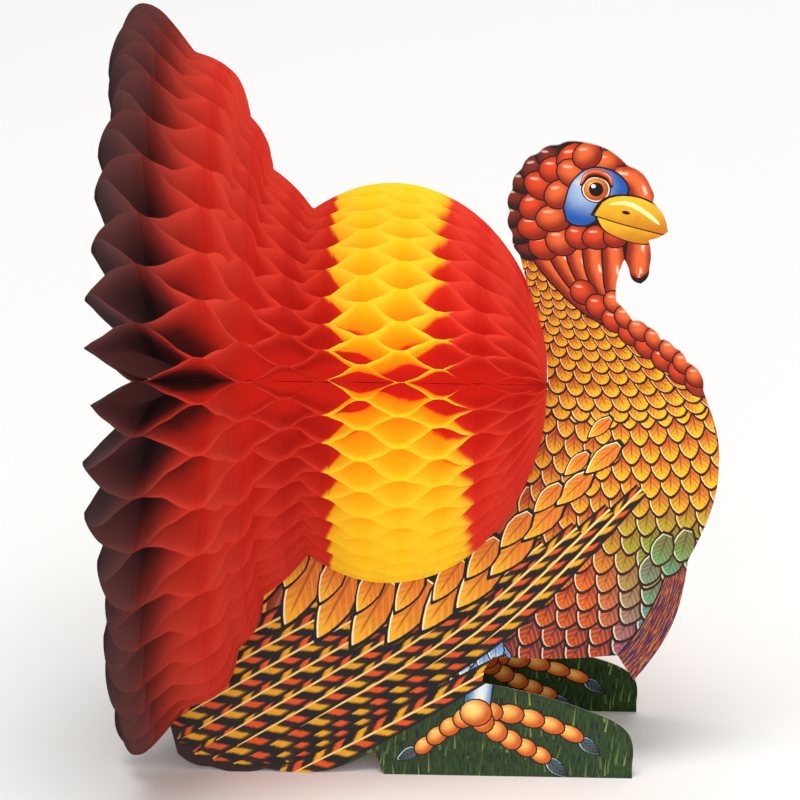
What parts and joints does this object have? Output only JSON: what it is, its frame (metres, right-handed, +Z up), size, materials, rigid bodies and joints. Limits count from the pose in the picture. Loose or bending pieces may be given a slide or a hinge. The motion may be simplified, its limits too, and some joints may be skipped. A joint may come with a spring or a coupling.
{
  "type": "thanksgiving turkey centrepiece",
  "caption": "Standing paper turkey: a honeycomb tissue body and tail fan open all the way round between two splayed printed boards that fold flat.",
  "frame": {"origin": "on the table, under the middle of the figure's outline", "axes": "+X towards the head, along the tissue's axis; +Z up; the near side of the figure faces -Y"},
  "size_m": [0.2432, 0.3008, 0.3017],
  "materials": {
    "printed_board": "coated paper board, printed on both faces, cut edges left bare",
    "tissue_paper": "thin dyed tissue paper, matt and slightly see-through",
    "binding": "gathered and glued inner edge of the tissue"
  },
  "bodies": {
    "head": {"head_board_near": "printed_board", "head_board_far": "printed_board", "tissue_spine": "binding"},
    "near_side": {"side_board_near": "printed_board"},
    "far_side": {"side_board_far": "printed_board"},
    "near_leaf_01": {"tissue_near_01": "tissue_paper"},
    "near_leaf_02": {"tissue_near_02": "tissue_paper"},
    "near_leaf_03": {"tissue_near_03": "tissue_paper"},
    "near_leaf_04": {"tissue_near_04": "tissue_paper"},
    "near_leaf_05": {"tissue_near_05": "tissue_paper"},
    "near_leaf_06": {"tissue_near_06": "tissue_paper"},
    "near_leaf_07": {"tissue_near_07": "tissue_paper"},
    "near_leaf_08": {"tissue_near_08": "tissue_paper"},
    "near_leaf_09": {"tissue_near_09": "tissue_paper"},
    "near_leaf_10": {"tissue_near_10": "tissue_paper"},
    "near_leaf_11": {"tissue_near_11": "tissue_paper"},
    "near_leaf_12": {"tissue_near_12": "tissue_paper"},
    "near_leaf_13": {"tissue_near_13": "tissue_paper"},
    "near_leaf_14": {"tissue_near_14": "tissue_paper"},
    "near_leaf_15": {"tissue_near_15": "tissue_paper"},
    "near_leaf_16": {"tissue_near_16": "tissue_paper"},
    "near_leaf_17": {"tissue_near_17": "tissue_paper"},
    "near_leaf_18": {"tissue_near_18": "tissue_paper"},
    "far_leaf_01": {"tissue_far_01": "tissue_paper"},
    "far_leaf_02": {"tissue_far_02": "tissue_paper"},
    "far_leaf_03": {"tissue_far_03": "tissue_paper"},
    "far_leaf_04": {"tissue_far_04": "tissue_paper"},
    "far_leaf_05": {"tissue_far_05": "tissue_paper"},
    "far_leaf_06": {"tissue_far_06": "tissue_paper"},
    "far_leaf_07": {"tissue_far_07": "tissue_paper"},
    "far_leaf_08": {"tissue_far_08": "tissue_paper"},
    "far_leaf_09": {"tissue_far_09": "tissue_paper"},
    "far_leaf_10": {"tissue_far_10": "tissue_paper"},
    "far_leaf_11": {"tissue_far_11": "tissue_paper"},
    "far_leaf_12": {"tissue_far_12": "tissue_paper"},
    "far_leaf_13": {"tissue_far_13": "tissue_paper"},
    "far_leaf_14": {"tissue_far_14": "tissue_paper"},
    "far_leaf_15": {"tissue_far_15": "tissue_paper"},
    "far_leaf_16": {"tissue_far_16": "tissue_paper"},
    "far_leaf_17": {"tissue_far_17": "tissue_paper"},
    "far_leaf_18": {"tissue_far_18": "tissue_paper"}
  },
  "joints": [
    {"name": "near_side_swing", "type": "hinge", "parent": "head", "child": "near_side", "pos_m": [0, -0.00075, 0.15147], "axis": [-1, 0, 0], "range_deg": [0, 161], "deforming": ["tissue_near_01", "tissue_near_02", "tissue_near_03", "tissue_near_04", "tissue_near_05", "tissue_near_06", "tissue_near_07", "tissue_near_08", "tissue_near_09", "tissue_near_10", "tissue_near_11", "tissue_near_12", "tissue_near_13", "tissue_near_14", "tissue_near_15", "tissue_near_16", "tissue_near_17", "tissue_near_18"]},
    {"name": "far_side_swing", "type": "hinge", "parent": "head", "child": "far_side", "pos_m": [0, 0.00075, 0.15147], "axis": [1, 0, 0], "range_deg": [0, 161], "deforming": ["tissue_far_01", "tissue_far_02", "tissue_far_03", "tissue_far_04", "tissue_far_05", "tissue_far_06", "tissue_far_07", "tissue_far_08", "tissue_far_09", "tissue_far_10", "tissue_far_11", "tissue_far_12", "tissue_far_13", "tissue_far_14", "tissue_far_15", "tissue_far_16", "tissue_far_17", "tissue_far_18"]},
    {"name": "near_leaf_01_turn", "type": "hinge", "parent": "head", "child": "near_leaf_01", "pos_m": [0, 0, 0.15147], "axis": [-1, 0, 0], "range_deg": [0, 4.97]},
    {"name": "near_leaf_02_turn", "type": "hinge", "parent": "head", "child": "near_leaf_02", "pos_m": [0, 0, 0.15147], "axis": [-1, 0, 0], "range_deg": [0, 13.92]},
    {"name": "near_leaf_03_turn", "type": "hinge", "parent": "head", "child": "near_leaf_03", "pos_m": [0, 0, 0.15147], "axis": [-1, 0, 0], "range_deg": [0, 22.86]},
    {"name": "near_leaf_04_turn", "type": "hinge", "parent": "head", "child": "near_leaf_04", "pos_m": [0, 0, 0.15147], "axis": [-1, 0, 0], "range_deg": [0, 31.8]},
    {"name": "near_leaf_05_turn", "type": "hinge", "parent": "head", "child": "near_leaf_05", "pos_m": [0, 0, 0.15147], "axis": [-1, 0, 0], "range_deg": [0, 40.75]},
    {"name": "near_leaf_06_turn", "type": "hinge", "parent": "head", "child": "near_leaf_06", "pos_m": [0, 0, 0.15147], "axis": [-1, 0, 0], "range_deg": [0, 49.7]},
    {"name": "near_leaf_07_turn", "type": "hinge", "parent": "head", "child": "near_leaf_07", "pos_m": [0, 0, 0.15147], "axis": [-1, 0, 0], "range_deg": [0, 58.64]},
    {"name": "near_leaf_08_turn", "type": "hinge", "parent": "head", "child": "near_leaf_08", "pos_m": [0, 0, 0.15147], "axis": [-1, 0, 0], "range_deg": [0, 67.58]},
    {"name": "near_leaf_09_turn", "type": "hinge", "parent": "head", "child": "near_leaf_09", "pos_m": [0, 0, 0.15147], "axis": [-1, 0, 0], "range_deg": [0, 76.53]},
    {"name": "near_leaf_10_turn", "type": "hinge", "parent": "head", "child": "near_leaf_10", "pos_m": [0, 0, 0.15147], "axis": [-1, 0, 0], "range_deg": [0, 85.47]},
    {"name": "near_leaf_11_turn", "type": "hinge", "parent": "head", "child": "near_leaf_11", "pos_m": [0, 0, 0.15147], "axis": [-1, 0, 0], "range_deg": [0, 94.42]},
    {"name": "near_leaf_12_turn", "type": "hinge", "parent": "head", "child": "near_leaf_12", "pos_m": [0, 0, 0.15147], "axis": [-1, 0, 0], "range_deg": [0, 103.36]},
    {"name": "near_leaf_13_turn", "type": "hinge", "parent": "head", "child": "near_leaf_13", "pos_m": [0, 0, 0.15147], "axis": [-1, 0, 0], "range_deg": [0, 112.31]},
    {"name": "near_leaf_14_turn", "type": "hinge", "parent": "head", "child": "near_leaf_14", "pos_m": [0, 0, 0.15147], "axis": [-1, 0, 0], "range_deg": [0, 121.25]},
    {"name": "near_leaf_15_turn", "type": "hinge", "parent": "head", "child": "near_leaf_15", "pos_m": [0, 0, 0.15147], "axis": [-1, 0, 0], "range_deg": [0, 130.19]},
    {"name": "near_leaf_16_turn", "type": "hinge", "parent": "head", "child": "near_leaf_16", "pos_m": [0, 0, 0.15147], "axis": [-1, 0, 0], "range_deg": [0, 139.14]},
    {"name": "near_leaf_17_turn", "type": "hinge", "parent": "head", "child": "near_leaf_17", "pos_m": [0, 0, 0.15147], "axis": [-1, 0, 0], "range_deg": [0, 148.08]},
    {"name": "near_leaf_18_turn", "type": "hinge", "parent": "head", "child": "near_leaf_18", "pos_m": [0, 0, 0.15147], "axis": [-1, 0, 0], "range_deg": [0, 157.03]},
    {"name": "far_leaf_01_turn", "type": "hinge", "parent": "head", "child": "far_leaf_01", "pos_m": [0, 0, 0.15147], "axis": [1, 0, 0], "range_deg": [0, 4.97]},
    {"name": "far_leaf_02_turn", "type": "hinge", "parent": "head", "child": "far_leaf_02", "pos_m": [0, 0, 0.15147], "axis": [1, 0, 0], "range_deg": [0, 13.92]},
    {"name": "far_leaf_03_turn", "type": "hinge", "parent": "head", "child": "far_leaf_03", "pos_m": [0, 0, 0.15147], "axis": [1, 0, 0], "range_deg": [0, 22.86]},
    {"name": "far_leaf_04_turn", "type": "hinge", "parent": "head", "child": "far_leaf_04", "pos_m": [0, 0, 0.15147], "axis": [1, 0, 0], "range_deg": [0, 31.8]},
    {"name": "far_leaf_05_turn", "type": "hinge", "parent": "head", "child": "far_leaf_05", "pos_m": [0, 0, 0.15147], "axis": [1, 0, 0], "range_deg": [0, 40.75]},
    {"name": "far_leaf_06_turn", "type": "hinge", "parent": "head", "child": "far_leaf_06", "pos_m": [0, 0, 0.15147], "axis": [1, 0, 0], "range_deg": [0, 49.7]},
    {"name": "far_leaf_07_turn", "type": "hinge", "parent": "head", "child": "far_leaf_07", "pos_m": [0, 0, 0.15147], "axis": [1, 0, 0], "range_deg": [0, 58.64]},
    {"name": "far_leaf_08_turn", "type": "hinge", "parent": "head", "child": "far_leaf_08", "pos_m": [0, 0, 0.15147], "axis": [1, 0, 0], "range_deg": [0, 67.58]},
    {"name": "far_leaf_09_turn", "type": "hinge", "parent": "head", "child": "far_leaf_09", "pos_m": [0, 0, 0.15147], "axis": [1, 0, 0], "range_deg": [0, 76.53]},
    {"name": "far_leaf_10_turn", "type": "hinge", "parent": "head", "child": "far_leaf_10", "pos_m": [0, 0, 0.15147], "axis": [1, 0, 0], "range_deg": [0, 85.47]},
    {"name": "far_leaf_11_turn", "type": "hinge", "parent": "head", "child": "far_leaf_11", "pos_m": [0, 0, 0.15147], "axis": [1, 0, 0], "range_deg": [0, 94.42]},
    {"name": "far_leaf_12_turn", "type": "hinge", "parent": "head", "child": "far_leaf_12", "pos_m": [0, 0, 0.15147], "axis": [1, 0, 0], "range_deg": [0, 103.36]},
    {"name": "far_leaf_13_turn", "type": "hinge", "parent": "head", "child": "far_leaf_13", "pos_m": [0, 0, 0.15147], "axis": [1, 0, 0], "range_deg": [0, 112.31]},
    {"name": "far_leaf_14_turn", "type": "hinge", "parent": "head", "child": "far_leaf_14", "pos_m": [0, 0, 0.15147], "axis": [1, 0, 0], "range_deg": [0, 121.25]},
    {"name": "far_leaf_15_turn", "type": "hinge", "parent": "head", "child": "far_leaf_15", "pos_m": [0, 0, 0.15147], "axis": [1, 0, 0], "range_deg": [0, 130.19]},
    {"name": "far_leaf_16_turn", "type": "hinge", "parent": "head", "child": "far_leaf_16", "pos_m": [0, 0, 0.15147], "axis": [1, 0, 0], "range_deg": [0, 139.14]},
    {"name": "far_leaf_17_turn", "type": "hinge", "parent": "head", "child": "far_leaf_17", "pos_m": [0, 0, 0.15147], "axis": [1, 0, 0], "range_deg": [0, 148.08]},
    {"name": "far_leaf_18_turn", "type": "hinge", "parent": "head", "child": "far_leaf_18", "pos_m": [0, 0, 0.15147], "axis": [1, 0, 0], "range_deg": [0, 157.03]}
  ],
  "couplings": [
    {"joint": "near_leaf_01_turn", "follows": "near_side_swing", "ratio": 0.027778},
    {"joint": "near_leaf_02_turn", "follows": "near_side_swing", "ratio": 0.083333},
    {"joint": "near_leaf_03_turn", "follows": "near_side_swing", "ratio": 0.13889},
    {"joint": "near_leaf_04_turn", "follows": "near_side_swing", "ratio": 0.19444},
    {"joint": "near_leaf_05_turn", "follows": "near_side_swing", "ratio": 0.25},
    {"joint": "near_leaf_06_turn", "follows": "near_side_swing", "ratio": 0.30556},
    {"joint": "near_leaf_07_turn", "follows": "near_side_swing", "ratio": 0.36111},
    {"joint": "near_leaf_08_turn", "follows": "near_side_swing", "ratio": 0.41667},
    {"joint": "near_leaf_09_turn", "follows": "near_side_swing", "ratio": 0.47222},
    {"joint": "near_leaf_10_turn", "follows": "near_side_swing", "ratio": 0.52778},
    {"joint": "near_leaf_11_turn", "follows": "near_side_swing", "ratio": 0.58333},
    {"joint": "near_leaf_12_turn", "follows": "near_side_swing", "ratio": 0.63889},
    {"joint": "near_leaf_13_turn", "follows": "near_side_swing", "ratio": 0.69444},
    {"joint": "near_leaf_14_turn", "follows": "near_side_swing", "ratio": 0.75},
    {"joint": "near_leaf_15_turn", "follows": "near_side_swing", "ratio": 0.80556},
    {"joint": "near_leaf_16_turn", "follows": "near_side_swing", "ratio": 0.86111},
    {"joint": "near_leaf_17_turn", "follows": "near_side_swing", "ratio": 0.91667},
    {"joint": "near_leaf_18_turn", "follows": "near_side_swing", "ratio": 0.97222},
    {"joint": "far_leaf_01_turn", "follows": "far_side_swing", "ratio": 0.027778},
    {"joint": "far_leaf_02_turn", "follows": "far_side_swing", "ratio": 0.083333},
    {"joint": "far_leaf_03_turn", "follows": "far_side_swing", "ratio": 0.13889},
    {"joint": "far_leaf_04_turn", "follows": "far_side_swing", "ratio": 0.19444},
    {"joint": "far_leaf_05_turn", "follows": "far_side_swing", "ratio": 0.25},
    {"joint": "far_leaf_06_turn", "follows": "far_side_swing", "ratio": 0.30556},
    {"joint": "far_leaf_07_turn", "follows": "far_side_swing", "ratio": 0.36111},
    {"joint": "far_leaf_08_turn", "follows": "far_side_swing", "ratio": 0.41667},
    {"joint": "far_leaf_09_turn", "follows": "far_side_swing", "ratio": 0.47222},
    {"joint": "far_leaf_10_turn", "follows": "far_side_swing", "ratio": 0.52778},
    {"joint": "far_leaf_11_turn", "follows": "far_side_swing", "ratio": 0.58333},
    {"joint": "far_leaf_12_turn", "follows": "far_side_swing", "ratio": 0.63889},
    {"joint": "far_leaf_13_turn", "follows": "far_side_swing", "ratio": 0.69444},
    {"joint": "far_leaf_14_turn", "follows": "far_side_swing", "ratio": 0.75},
    {"joint": "far_leaf_15_turn", "follows": "far_side_swing", "ratio": 0.80556},
    {"joint": "far_leaf_16_turn", "follows": "far_side_swing", "ratio": 0.86111},
    {"joint": "far_leaf_17_turn", "follows": "far_side_swing", "ratio": 0.91667},
    {"joint": "far_leaf_18_turn", "follows": "far_side_swing", "ratio": 0.97222}
  ]
}
